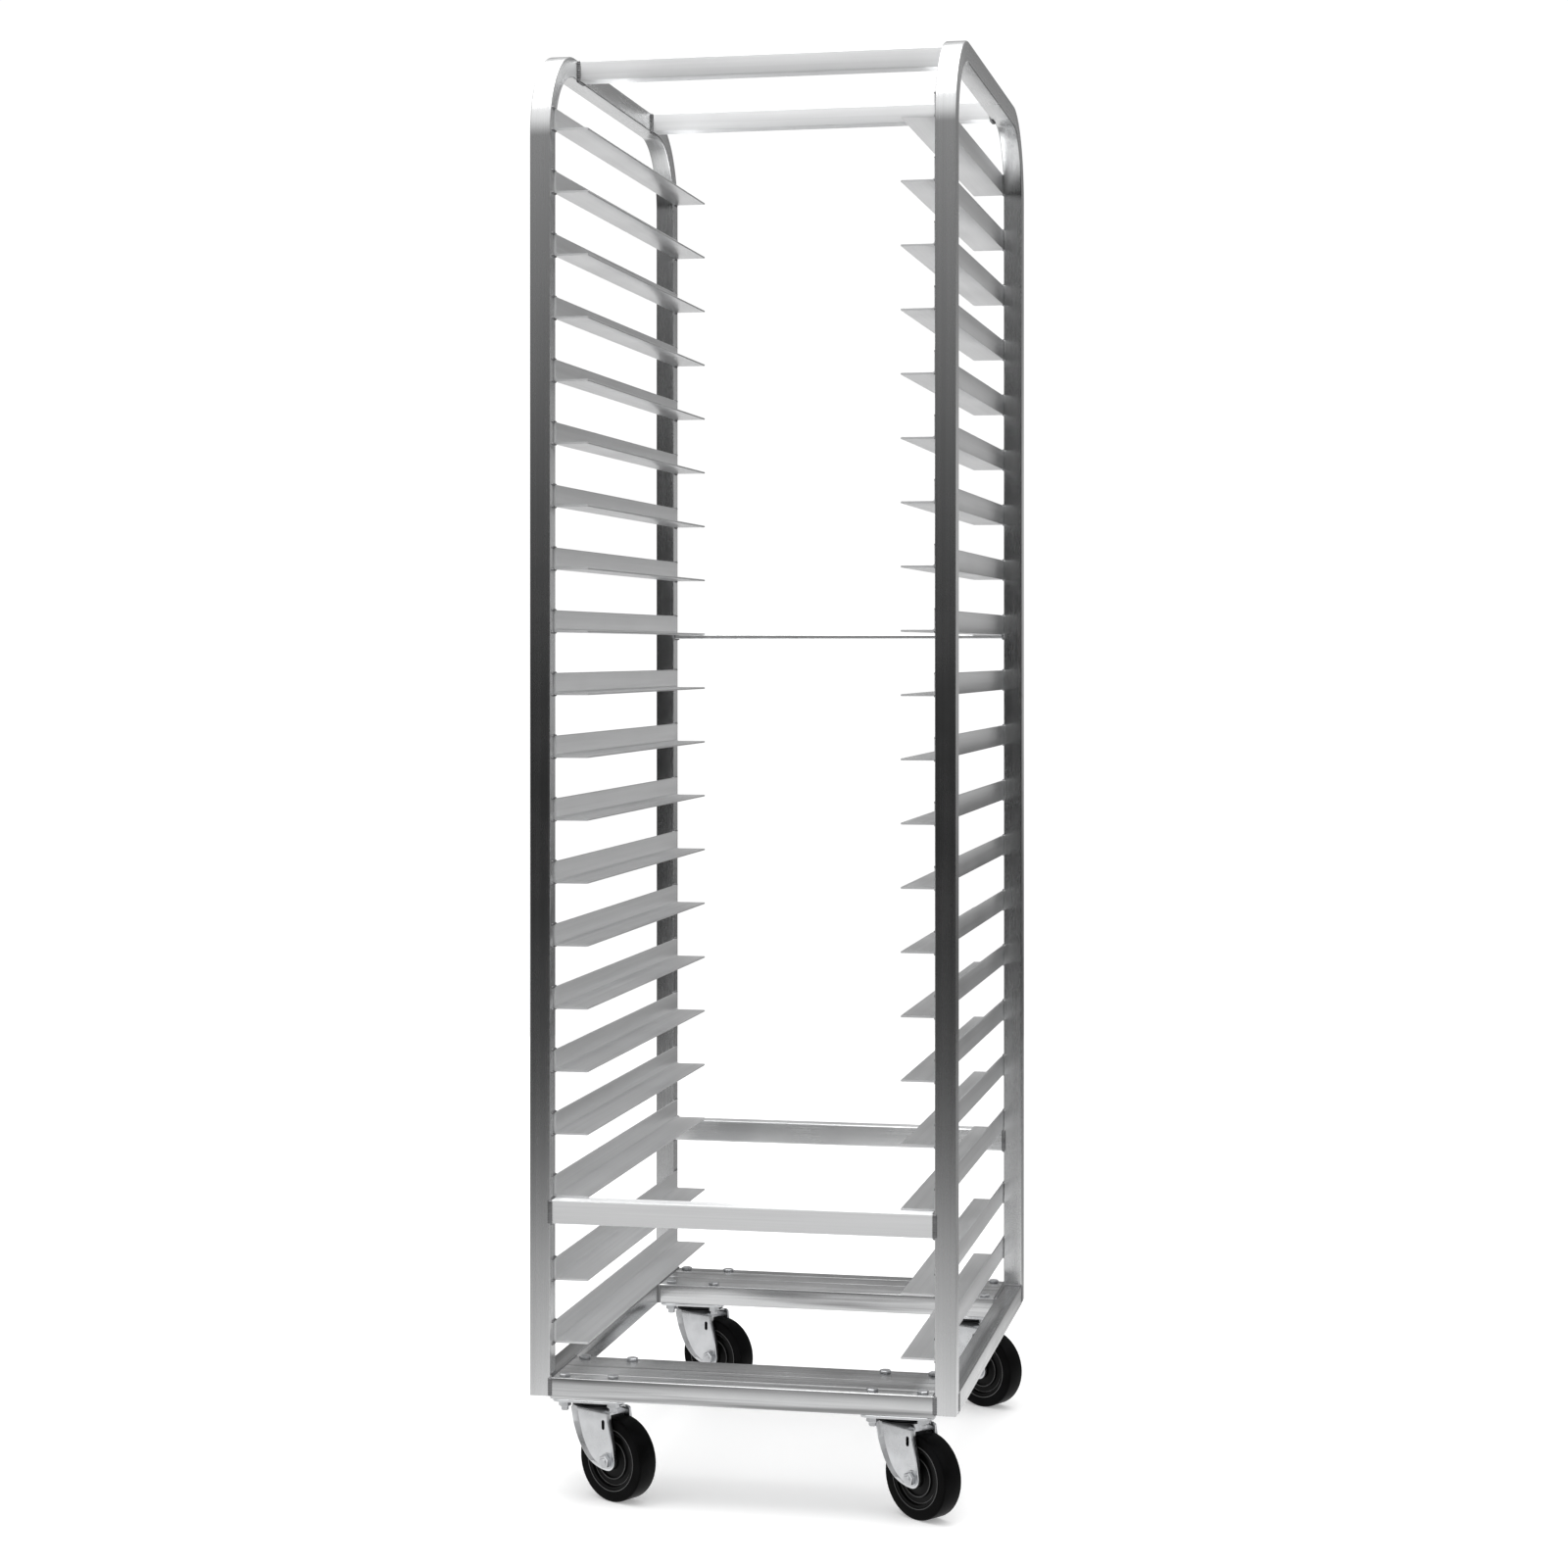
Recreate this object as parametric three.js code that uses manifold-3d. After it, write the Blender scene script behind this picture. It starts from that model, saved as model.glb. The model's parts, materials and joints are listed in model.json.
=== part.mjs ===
// Sheet pan rack: two bent tube side frames joined by cross rails, twenty pairs of
// angle slides, a welded base and four swivel plate casters.
// Millimetres, +Z up, +X to the right, +Y to the rear. The origin is on the floor,
// under the middle of the rack.

import * as THREE from 'three';
import { mergeVertices } from 'three/addons/utils/BufferGeometryUtils.js';
import Module from 'manifold-3d';

const manifold = await Module();
manifold.setup();

// ---------- Driving dimensions ----------

const inch = 25.4;
const overallWidth = 20.5 * inch;
const overallDepth = 26 * inch;
const overallHeight = 69.75 * inch;
const casterHeight = 5.0625 * inch;   // from the floor to the top of a caster's plate
const gap = 0.3;                      // between pieces that touch
const sink = 1;                       // how far joined and cutting solids run into each other

// Side frames: square tube bent into an inverted U.
const tube = 1 * inch;
const tubeWall = 1.6;
const tubeCorner = 1.8;
const bendRadius = 4.5 * inch;        // outer face of the bend
const bendSteps = 10;
const uprightFootAboveBase = 3.1;     // from the base's underside to the uprights' lower ends

// Pan slides.
const slideCount = 20;
const slidePitch = 3 * inch;
const ledgeWidth = 43;
const slideHeight = 27;
const slideThickness = 2.5;
const slideFillet = 2.5;
const slideLength = 627;
const topLedgeDrop = 106.4;           // from the top of the rack to the top ledge's underside
const railLevel = 18;                 // this level's ledge rests on the lower rails
const railLevelDrop = 100.6;          // from that ledge to the next one down

// Cross members.
const topRailOffset = 188;            // from the middle to a top rail's centre line
const lowerRailHeight = 29;
const lowerRailWall = 1.8;
const braceLevel = 9;
const braceThickness = 5;
const braceWidth = 1 * inch;
const braceCorner = 1;

// Base.
const baseBottom = casterHeight + gap;
const baseHeight = 26;
const channelWidth = 4.5 * inch;
const channelWall = 3.2;
const baseRailWall = 2;
const weldOverlap = 0.15;

// Casters.
const casterX = 189;
const casterY = overallDepth / 2 - channelWidth / 2;
const plateWidth = 3.5 * inch;
const plateDepth = 4.5 * inch;
const plateThickness = 3.2;
const plateCorner = 9;
const boltSpacingX = 2.375 * inch;
const boltSpacingY = 3.625 * inch;
const boltHole = 4.9;
const wheelRadius = 2 * inch;
const wheelWidth = 1.125 * inch;
const wheelShoulder = 3;
const wheelRim = 34;                  // where the tread meets the hub
const hubWidth = 30.5;
const hubBoss = 12;
const hubDish = 3;                    // depth of the hub's web below the tread's side
const hubDraft = 1.5;
const trail = 32.5;                   // from the swivel axis to the axle
const casters = [
  { place: 'front_left', x: -1, y: -1, swivel: -29 },
  { place: 'front_right', x: 1, y: -1, swivel: -36 },
  { place: 'rear_left', x: -1, y: 1, swivel: -25 },
  { place: 'rear_right', x: 1, y: 1, swivel: -29 },
];

// Caster stack, from the plate down.
const upperRaceRadius = 31;
const upperRaceHeight = 7;
const lowerRaceRadius = 28;
const lowerRaceHeight = 4.6;
const raceGap = 0.5;
const forkSheet = 3;
const kingpinRadius = 6;
const kingpinNutRadius = 9;
const kingpinNutHeight = 7;

// Fork legs, in the plane of the wheel: along the trail and up.
const legInside = 16.4;               // from the wheel's middle plane
const legFront = -29;
const legRear = 36;
const legShoulderDrop = 15;           // from the crown to the foot of the leg's rear slope
const legBossRadius = 12;
const legBossEnd = 0.1;               // where the boss's arc ends, in radians above the axle
const legUpperHandle = { along: -21, up: 80 };
const legLowerHandle = { along: -8, up: 40 };
const legFrontEnd = trail - 2;
const axleRadius = 4.6;
const axleBore = 5.2;
const axleNutRadius = 9;
const axleNutHeight = 6;
const axleNutSink = 0.2;

// Steps of the round shapes.
const hexagon = 6;
const roundSegments = 24;
const pinSegments = 16;
const holeSegments = 12;
const wheelSegments = 32;
const legSteps = 7;
const cornerSteps = 3;
const smallCornerSteps = 2;

const innerFace = overallWidth / 2 - tube;

// ---------- Materials ----------

function metal(color, roughness, metalness) {
  return new THREE.MeshStandardMaterial({ color, roughness, metalness });
}

const frameAluminium = metal(0xb4b7ba, 0.38, 1);
const slideAluminium = metal(0xc4c6c8, 0.34, 1);
const baseAluminium = metal(0xa9acaf, 0.4, 1);
const zincSteel = metal(0xb9bcc0, 0.42, 1);
const blackRubber = metal(0x111213, 0.7, 0);

// ---------- Solids ----------

function solidOf(geometry) {
  const bare = geometry.clone();
  bare.deleteAttribute('normal');
  bare.deleteAttribute('uv');
  const merged = mergeVertices(bare.index ? bare.toNonIndexed() : bare, 1e-4);
  return new manifold.Manifold(new manifold.Mesh({
    numProp: 3,
    vertProperties: new Float32Array(merged.attributes.position.array),
    triVerts: new Uint32Array(merged.index.array),
  }));
}

function geometryOf(solid) {
  const mesh = solid.getMesh();
  const geometry = new THREE.BufferGeometry();
  geometry.setAttribute('position', new THREE.BufferAttribute(mesh.vertProperties, 3));
  geometry.setIndex(new THREE.BufferAttribute(mesh.triVerts, 1));
  const flat = geometry.toNonIndexed();
  flat.computeVertexNormals();
  return flat;
}

function join(geometries) {
  return geometries.map(solidOf).reduce((whole, next) => whole.add(next));
}

function cut(solid, geometries) {
  return geometries.map(solidOf).reduce((whole, next) => whole.subtract(next), solid);
}

// A shape in X and Y, extruded up from z = bottom.
function plate(shape, bottom, height, curveSegments) {
  const geometry = new THREE.ExtrudeGeometry(shape, {
    depth: height,
    bevelEnabled: false,
    curveSegments,
  });
  return geometry.translate(0, 0, bottom);
}

function cylinder(radius, bottom, height, segments = roundSegments) {
  const geometry = new THREE.CylinderGeometry(radius, radius, height, segments);
  return geometry.rotateX(Math.PI / 2).translate(0, 0, bottom + height / 2);
}

function roundedRectangle(width, height, radius, Outline = THREE.Shape) {
  const x = width / 2;
  const y = height / 2;
  const outline = new Outline();
  outline.moveTo(-x + radius, -y);
  outline.lineTo(x - radius, -y);
  outline.absarc(x - radius, -y + radius, radius, -Math.PI / 2, 0);
  outline.lineTo(x, y - radius);
  outline.absarc(x - radius, y - radius, radius, 0, Math.PI / 2);
  outline.lineTo(-x + radius, y);
  outline.absarc(-x + radius, y - radius, radius, Math.PI / 2, Math.PI);
  outline.lineTo(-x, -y + radius);
  outline.absarc(-x + radius, -y + radius, radius, Math.PI, Math.PI * 1.5);
  outline.closePath();
  return outline;
}

// A hollow rectangular tube along Z, centred on the origin, open at both ends.
function boxTube(width, height, wall, length) {
  const section = roundedRectangle(width, height, tubeCorner);
  const bore = roundedRectangle(width - wall * 2, height - wall * 2, tubeCorner - wall / 2, THREE.Path);
  section.holes.push(bore);
  return plate(section, -length / 2, length, smallCornerSteps);
}

// ---------- Side frames ----------

// The inverted U in (rear, up), inset from the outer face of the tube.
function frameOutline(inset, foot) {
  const outer = overallDepth / 2 - inset;
  const inner = overallDepth / 2 - tube + inset;
  const top = overallHeight - inset;
  const underside = overallHeight - tube + inset;
  const bendCentre = { rear: overallDepth / 2 - bendRadius, up: overallHeight - bendRadius };
  const outerBend = bendRadius - inset;
  const innerBend = bendRadius - tube + inset;
  const outline = new THREE.Shape();
  outline.moveTo(outer, foot);
  outline.lineTo(outer, bendCentre.up);
  outline.absarc(bendCentre.rear, bendCentre.up, outerBend, 0, Math.PI / 2);
  outline.lineTo(-bendCentre.rear, top);
  outline.absarc(-bendCentre.rear, bendCentre.up, outerBend, Math.PI / 2, Math.PI);
  outline.lineTo(-outer, foot);
  outline.lineTo(-inner, foot);
  outline.lineTo(-inner, bendCentre.up);
  outline.absarc(-bendCentre.rear, bendCentre.up, innerBend, Math.PI, Math.PI / 2, true);
  outline.lineTo(bendCentre.rear, underside);
  outline.absarc(bendCentre.rear, bendCentre.up, innerBend, Math.PI / 2, 0, true);
  outline.lineTo(inner, foot);
  outline.closePath();
  return outline;
}

function sideFrame() {
  const uprightFoot = baseBottom + uprightFootAboveBase;
  const bevel = {
    bevelThickness: tubeCorner,
    bevelSize: tubeCorner,
    bevelOffset: -tubeCorner,
    bevelSegments: 1,
    curveSegments: bendSteps,
  };
  const outside = new THREE.ExtrudeGeometry(frameOutline(0, uprightFoot), {
    depth: tube - tubeCorner * 2,
    ...bevel,
  });
  outside.translate(0, 0, tubeCorner - tube / 2);
  const bore = tube - tubeWall * 2;
  const inside = new THREE.ExtrudeGeometry(frameOutline(tubeWall, uprightFoot - tube), {
    depth: bore,
    bevelEnabled: false,
    curveSegments: bendSteps,
  });
  inside.translate(0, 0, -bore / 2);
  // The outline's (rear, up) becomes (Y, Z), and its thickness runs along X.
  const turn = new THREE.Matrix4().makeBasis(
    new THREE.Vector3(0, 1, 0),
    new THREE.Vector3(0, 0, 1),
    new THREE.Vector3(1, 0, 0),
  );
  return geometryOf(cut(join([outside]), [inside])).applyMatrix4(turn);
}

// ---------- Cross members ----------

function crossTube(height, wall) {
  const length = (innerFace - gap) * 2;
  return boxTube(height, tube, wall, length).rotateY(Math.PI / 2);
}

function braceBar() {
  const length = (innerFace - gap) * 2;
  const bar = roundedRectangle(braceThickness, braceWidth, braceCorner);
  return plate(bar, -length / 2, length, smallCornerSteps).rotateY(Math.PI / 2);
}

// ---------- Pan slides ----------

// Underside of the ledge at each level, counted from the top.
function ledgeUnderside(level) {
  const drops = Math.min(level, railLevel) - 1;
  const below = Math.max(level - railLevel, 0);
  const lowerDrop = below > 0 ? railLevelDrop + (below - 1) * slidePitch : 0;
  return overallHeight - topLedgeDrop - drops * slidePitch - lowerDrop;
}

// An angle section: a leg against the uprights and a ledge towards the middle.
function slide() {
  const t = slideThickness;
  const toe = t / 2;
  const outline = new THREE.Shape();
  outline.moveTo(0, 0);
  outline.lineTo(ledgeWidth - toe, 0);
  outline.absarc(ledgeWidth - toe, toe, toe, -Math.PI / 2, Math.PI / 2);
  outline.lineTo(t + slideFillet, t);
  outline.absarc(t + slideFillet, t + slideFillet, slideFillet, -Math.PI / 2, -Math.PI, true);
  outline.lineTo(t, slideHeight - toe);
  outline.absarc(toe, slideHeight - toe, toe, 0, Math.PI);
  outline.closePath();
  const bar = plate(outline, -slideLength / 2, slideLength, smallCornerSteps);
  return bar.rotateX(Math.PI / 2);
}

// ---------- Base ----------

// A channel with its web on top and its flanges down, along X.
function casterChannel() {
  const length = (innerFace - gap) * 2;
  const web = new THREE.BoxGeometry(length, channelWidth, channelWall);
  web.translate(0, 0, baseHeight - channelWall / 2);
  const flangeOffset = (channelWidth - channelWall) / 2;
  const flanges = [-flangeOffset, flangeOffset].map((offset) => {
    const flange = new THREE.BoxGeometry(length, channelWall, baseHeight);
    return flange.translate(0, offset, baseHeight / 2);
  });
  return geometryOf(join([web, ...flanges]));
}

function baseRail() {
  const width = tube + gap + weldOverlap;
  const length = overallDepth - (tube + gap) * 2;
  return boxTube(width, baseHeight, baseRailWall, length).rotateX(Math.PI / 2);
}

function baseFrame() {
  const railX = overallWidth / 2 - (tube + gap + weldOverlap) / 2;
  const channels = [-casterY, casterY].map((y) => casterChannel().translate(0, y, 0));
  const rails = [-railX, railX].map((x) => baseRail().translate(x, 0, baseHeight / 2));
  return geometryOf(join([...channels, ...rails])).translate(0, 0, baseBottom);
}

// ---------- Casters ----------

const plateBottom = casterHeight - plateThickness;
const upperRaceBottom = plateBottom - upperRaceHeight;
const lowerRaceTop = upperRaceBottom - raceGap;
const crownTop = lowerRaceTop - lowerRaceHeight;
const crownBottom = crownTop - forkSheet;

// Mounting plate, upper race and kingpin.
function casterPlate() {
  const corners = [-1, 1].flatMap((x) => [-1, 1].map((y) => ({ x, y })));
  const outline = roundedRectangle(plateWidth, plateDepth, plateCorner);
  const sheet = plate(outline, plateBottom, plateThickness, cornerSteps);
  const holes = corners.map(({ x, y }) => {
    const hole = cylinder(boltHole, plateBottom - sink, plateThickness + sink * 2, holeSegments);
    return hole.translate((x * boltSpacingX) / 2, (y * boltSpacingY) / 2, 0);
  });
  const race = cylinder(upperRaceRadius, upperRaceBottom, upperRaceHeight + sink);
  const nutTop = crownBottom - raceGap;
  const pinHeight = upperRaceBottom - nutTop + sink * 2;
  const kingpin = cylinder(kingpinRadius, nutTop - sink, pinHeight, pinSegments);
  const nut = cylinder(kingpinNutRadius, nutTop - kingpinNutHeight, kingpinNutHeight, hexagon);
  const drilled = geometryOf(cut(solidOf(sheet), holes));
  return geometryOf(join([drilled, race, kingpin, nut]));
}

// One fork leg: a wide top that narrows to a round boss at the axle.
function legOutline() {
  const outline = new THREE.Shape();
  outline.moveTo(legRear, crownTop);
  outline.lineTo(legFront, crownTop);
  outline.bezierCurveTo(
    legUpperHandle.along, legUpperHandle.up,
    legLowerHandle.along, legLowerHandle.up,
    legFrontEnd, wheelRadius - legBossRadius,
  );
  outline.absarc(trail, wheelRadius, legBossRadius, -Math.PI / 2, legBossEnd);
  outline.lineTo(legRear, crownTop - legShoulderDrop);
  outline.closePath();
  return outline;
}

// Crown, lower race, two legs and the axle, with the swivel axis on Z.
function fork() {
  const width = (legInside + forkSheet) * 2;
  const crown = new THREE.BoxGeometry(legRear - legFront, width, forkSheet);
  crown.translate((legRear + legFront) / 2, 0, crownTop - forkSheet / 2);
  const race = cylinder(lowerRaceRadius, crownTop - sink, lowerRaceHeight + sink);
  const legs = [-legInside - forkSheet, legInside].map((y) => {
    const leg = plate(legOutline(), 0, forkSheet, legSteps);
    return leg.rotateX(Math.PI / 2).translate(0, y + forkSheet, 0);
  });
  const axle = new THREE.CylinderGeometry(axleRadius, axleRadius, width + sink * 2, pinSegments);
  axle.translate(trail, 0, wheelRadius);
  const nuts = [-1, 1].map((side) => {
    const nut = new THREE.CylinderGeometry(axleNutRadius, axleNutRadius, axleNutHeight, hexagon);
    const y = side * ((width + axleNutHeight) / 2 - axleNutSink);
    return nut.translate(trail, y, wheelRadius);
  });
  const holeHeight = lowerRaceHeight + forkSheet + sink * 2;
  const hole = cylinder(kingpinRadius + raceGap, crownBottom - sink, holeHeight, pinSegments);
  return geometryOf(cut(join([crown, race, ...legs, axle, ...nuts]), [hole]));
}

// Tread and hub, turned about the axle.
function wheel() {
  const tread = wheelWidth / 2;
  const hub = hubWidth / 2;
  const web = tread - hubDish;
  const arcRadius = wheelRadius - wheelShoulder;
  const profile = new THREE.Path();
  profile.moveTo(axleBore, -hub);
  profile.lineTo(hubBoss, -hub);
  profile.lineTo(hubBoss + hubDraft, -web);
  profile.lineTo(wheelRim - hubDraft, -web);
  profile.lineTo(wheelRim, -tread);
  profile.absarc(arcRadius, wheelShoulder - tread, wheelShoulder, -Math.PI / 2, 0);
  profile.absarc(arcRadius, tread - wheelShoulder, wheelShoulder, 0, Math.PI / 2);
  profile.lineTo(wheelRim, tread);
  profile.lineTo(wheelRim - hubDraft, web);
  profile.lineTo(hubBoss + hubDraft, web);
  profile.lineTo(hubBoss, hub);
  profile.lineTo(axleBore, hub);
  profile.lineTo(axleBore, -hub);
  return new THREE.LatheGeometry(profile.getPoints(1), wheelSegments);
}

// ---------- Assembly ----------

const rack = new THREE.Group();

function addMesh(parent, name, geometry, material, x = 0, y = 0, z = 0) {
  const mesh = new THREE.Mesh(geometry, material);
  mesh.name = name;
  mesh.position.set(x, y, z);
  parent.add(mesh);
  return mesh;
}

const frameX = (overallWidth - tube) / 2;
addMesh(rack, 'left_side_frame', sideFrame(), frameAluminium, -frameX);
addMesh(rack, 'right_side_frame', sideFrame(), frameAluminium, frameX);

const topRailZ = overallHeight - tube / 2;
addMesh(rack, 'top_front_rail', crossTube(tube, tubeWall), frameAluminium, 0, -topRailOffset, topRailZ);
addMesh(rack, 'top_rear_rail', crossTube(tube, tubeWall), frameAluminium, 0, topRailOffset, topRailZ);

const lowerRailY = (overallDepth - tube) / 2;
const lowerRailZ = ledgeUnderside(railLevel) - gap - lowerRailHeight / 2;
for (const [name, side] of [['lower_front_rail', -1], ['lower_rear_rail', 1]]) {
  const rail = crossTube(lowerRailHeight, lowerRailWall);
  addMesh(rack, name, rail, frameAluminium, 0, side * lowerRailY, lowerRailZ);
}

const braceY = overallDepth / 2 - tube / 2;
const braceZ = ledgeUnderside(braceLevel) - gap - braceThickness / 2;
addMesh(rack, 'mid_rear_brace', braceBar(), slideAluminium, 0, braceY, braceZ);

for (let level = 1; level <= slideCount; level += 1) {
  const label = String(level).padStart(2, '0');
  const z = ledgeUnderside(level);
  addMesh(rack, `slide_left_${label}`, slide(), slideAluminium, -innerFace + gap, 0, z);
  const right = addMesh(rack, `slide_right_${label}`, slide(), slideAluminium, innerFace - gap, 0, z);
  right.rotation.z = Math.PI;
}

addMesh(rack, 'base_frame', baseFrame(), baseAluminium);

for (const { place, x, y, swivel } of casters) {
  const mount = new THREE.Group();
  mount.position.set(x * casterX, y * casterY, 0);
  addMesh(mount, `caster_${place}_plate`, casterPlate(), zincSteel);
  const turned = new THREE.Group();
  turned.rotation.z = THREE.MathUtils.degToRad(swivel);
  addMesh(turned, `caster_${place}_fork`, fork(), zincSteel);
  addMesh(turned, `caster_${place}_wheel`, wheel(), blackRubber, trail, 0, wheelRadius);
  mount.add(turned);
  rack.add(mount);
}

export default rack;
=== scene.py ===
"""Sheet pan rack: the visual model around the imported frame. Metres, +Z up, +X right, +Y to the rear."""

import json
import math
import random

import bmesh
import bpy
from mathutils import Matrix, Vector

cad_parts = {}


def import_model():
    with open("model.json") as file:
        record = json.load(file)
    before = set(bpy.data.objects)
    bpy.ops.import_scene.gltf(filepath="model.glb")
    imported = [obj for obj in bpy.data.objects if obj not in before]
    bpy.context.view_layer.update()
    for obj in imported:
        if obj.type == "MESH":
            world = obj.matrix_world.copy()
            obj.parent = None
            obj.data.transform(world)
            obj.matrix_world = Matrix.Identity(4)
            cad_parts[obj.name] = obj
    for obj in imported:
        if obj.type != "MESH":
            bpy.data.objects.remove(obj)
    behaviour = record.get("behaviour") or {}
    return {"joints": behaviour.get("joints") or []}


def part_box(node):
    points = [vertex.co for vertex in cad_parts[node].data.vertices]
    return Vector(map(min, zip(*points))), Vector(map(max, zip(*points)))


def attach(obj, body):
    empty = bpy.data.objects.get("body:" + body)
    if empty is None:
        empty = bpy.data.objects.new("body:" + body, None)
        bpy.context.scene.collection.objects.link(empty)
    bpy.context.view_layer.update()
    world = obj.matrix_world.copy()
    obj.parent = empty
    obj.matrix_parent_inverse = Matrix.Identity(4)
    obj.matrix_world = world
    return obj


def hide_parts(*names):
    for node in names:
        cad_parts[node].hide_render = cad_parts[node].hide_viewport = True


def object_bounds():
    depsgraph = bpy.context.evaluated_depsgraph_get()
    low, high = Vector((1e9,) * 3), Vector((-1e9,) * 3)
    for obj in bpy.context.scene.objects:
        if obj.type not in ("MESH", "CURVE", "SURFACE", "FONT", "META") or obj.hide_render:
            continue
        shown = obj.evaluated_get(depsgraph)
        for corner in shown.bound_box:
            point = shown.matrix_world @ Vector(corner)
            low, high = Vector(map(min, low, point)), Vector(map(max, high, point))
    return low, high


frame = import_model()
cad_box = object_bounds()
joints = {joint["name"]: joint for joint in frame["joints"]}
chance = random.Random(20)

X_AXIS = Vector((1, 0, 0))
Y_AXIS = Vector((0, 1, 0))
Z_AXIS = Vector((0, 0, 1))
MM = 0.001

# ---------- Sizes that the frame gives ----------

LEFT_LOW, LEFT_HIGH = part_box("left_side_frame")
TUBE = LEFT_HIGH.x - LEFT_LOW.x
HALF_DEPTH = LEFT_HIGH.y
TOP = LEFT_HIGH.z
FOOT = LEFT_LOW.z
INNER_FACE = -LEFT_HIGH.x
BASE_LOW, BASE_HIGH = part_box("base_frame")
PLACES = ("front_left", "front_right", "rear_left", "rear_right")
LEVELS = range(1, 21)

# ---------- Sizes of the metal ----------

BEND_RADIUS = 114.3 * MM
BEND_STEPS = 28
TUBE_WALL = 1.6 * MM
TUBE_CORNER = 1.9 * MM
BRACE_CORNER = 1 * MM
SLIDE_THICKNESS = 2.5 * MM
SLIDE_FILLET = 2.6 * MM
SLIDE_TOE = 1.15 * MM
SLIDE_HEEL = 0.5 * MM
CHANNEL_WALL = 3.2 * MM
CHANNEL_CORNER = 1.6 * MM
CHANNEL_FILLET = 2 * MM
CHANNEL_TOE = 0.7 * MM
CHANNEL_WIDTH = 114.3 * MM
CHANNEL_GROOVES = (33 * MM, -4.6 * MM)   # from the channel's middle towards the rack's outer side
GROOVE_WIDTH = 1.6 * MM
GROOVE_DEPTH = 0.6 * MM
BASE_RAIL_WALL = 2 * MM
WELD_GAP = 0.3 * MM
WELD_PITCH = 2.8 * MM
STEPS_PER_RIPPLE = 4
BEAD_SIDES = 8
BEAD_SMOOTHING = 80                   # degrees: flatter edges than this are shaded smooth
RAIL_BEAD = 3 * MM
SLIDE_BEAD = 2.2 * MM
SLIDE_WELD_SHARE = 0.62               # of the tube's width
SLIDE_WELD_INSET = 3.5 * MM
BASE_BEAD = 2.8 * MM

# ---------- Sizes of the casters, from the plate down ----------

PLATE_SIZE = (88.9 * MM, 114.3 * MM)
PLATE_THICKNESS = 3.2 * MM
PLATE_CORNER = 9 * MM
PLATE_CHAMFER = 0.5 * MM

# Pins and bolts: radius, and the bevel at the end.
BOLT = (4.6 * MM, 0.7 * MM)
KINGPIN = (5 * MM, 0.6 * MM)
AXLE = (4.6 * MM, 0.8 * MM)

# Heads and nuts: radius over the corners, and height.
BOLT_HEAD = (7.4 * MM, 3.6 * MM)
BOLT_NUT = (7.6 * MM, 6.5 * MM)
KINGPIN_NUT = (9 * MM, 7 * MM)
AXLE_HEAD = (8.2 * MM, 5.4 * MM)
AXLE_NUT = (8.2 * MM, 6 * MM)
NUT_CHAMFER = 0.8 * MM
AXLE_CHAMFER = 0.9 * MM

BOLT_SPACING = (60.3 * MM, 92.1 * MM)
BOLT_REACH = 11.5 * MM        # from the plate's underside to the end of the thread
KINGPIN_GAP = 0.5 * MM        # between the crown and the nut
KINGPIN_REACH = 2 * MM        # past the nut
KINGPIN_ROOT = 4 * MM         # hidden in the nut
AXLE_REACH = 8.8 * MM         # past the fork's leg
WASHER_RADIUS = 9.5 * MM
WASHER_THICKNESS = 1.6 * MM

# Ball races: bore and radius, then a profile in mm of (outwards from the radius, upwards).
UPPER_RACE = (6 * MM, 31 * MM)
UPPER_RACE_PROFILE = ((3, 1), (2.4, -0.6), (0, -1.6), (-0.3, -6.2), (-1.4, -7))
LOWER_RACE = (7 * MM, 28 * MM)
LOWER_RACE_PROFILE = ((4, -0.2), (3, 1.6), (0, 2.4), (-1, 4.6))
LOWER_RACE_HEIGHT = LOWER_RACE_PROFILE[-1][1] * MM

# The fork: along the trail from the swivel axis, across it, or up.
FORK_SHEET = 3 * MM
FORK_BEND = 7 * MM
FORK_ROUNDING = 0.5 * MM
LEG_INSIDE = 16.4 * MM
LEG_FRONT = -29 * MM
LEG_REAR = 36 * MM
LEG_FOOT = 30 * MM            # how far the uncut sheet reaches below the axle
LEG_BOSS = 12 * MM
LEG_HANDLES = ((-21 * MM, 80 * MM), (-8 * MM, 40 * MM))   # of the front edge's curve, heights from the floor
LEG_TOE = 2 * MM              # the front edge meets the boss this far before the axle
LEG_WAIST = (LEG_BOSS - 1.4 * MM, 20 * MM)   # the rear edge's lower corner, from the axle
LEG_SHOULDER = 15 * MM        # the rear edge's upper corner, below the crown
LEG_CORNER = 6 * MM
SLOT_SIZE = (5 * MM, 12 * MM)
SLOT_CORNER = 2.4 * MM
SLOT_CENTRE = (25.5 * MM, 20 * MM)   # along the trail, and below the crown
NOTCH_SIZE = (36 * MM, LEG_INSIDE * 2 - 1 * MM)   # the opening in the rear of the crown
NOTCH_CORNER = 8 * MM
NOTCH_CENTRE = 44 * MM
NOTCH_DEPTH = 5 * MM
CUT_CLEARANCE = 2 * MM
CROWN_CLEARANCE = 1 * MM
SHEET_REACH = 90 * MM
CUTTER_REACH = 40 * MM

# Pressed flanges: width at the first and last point of the edge, height, and the lip on the edge.
FRONT_FLANGE = (11 * MM, 4 * MM)
REAR_FLANGE = (3 * MM, 5 * MM)
FLANGE_RISE = 2.4 * MM
FLANGE_LIP = 1.2 * MM
FLANGE_SINK = 0.5 * MM

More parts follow.
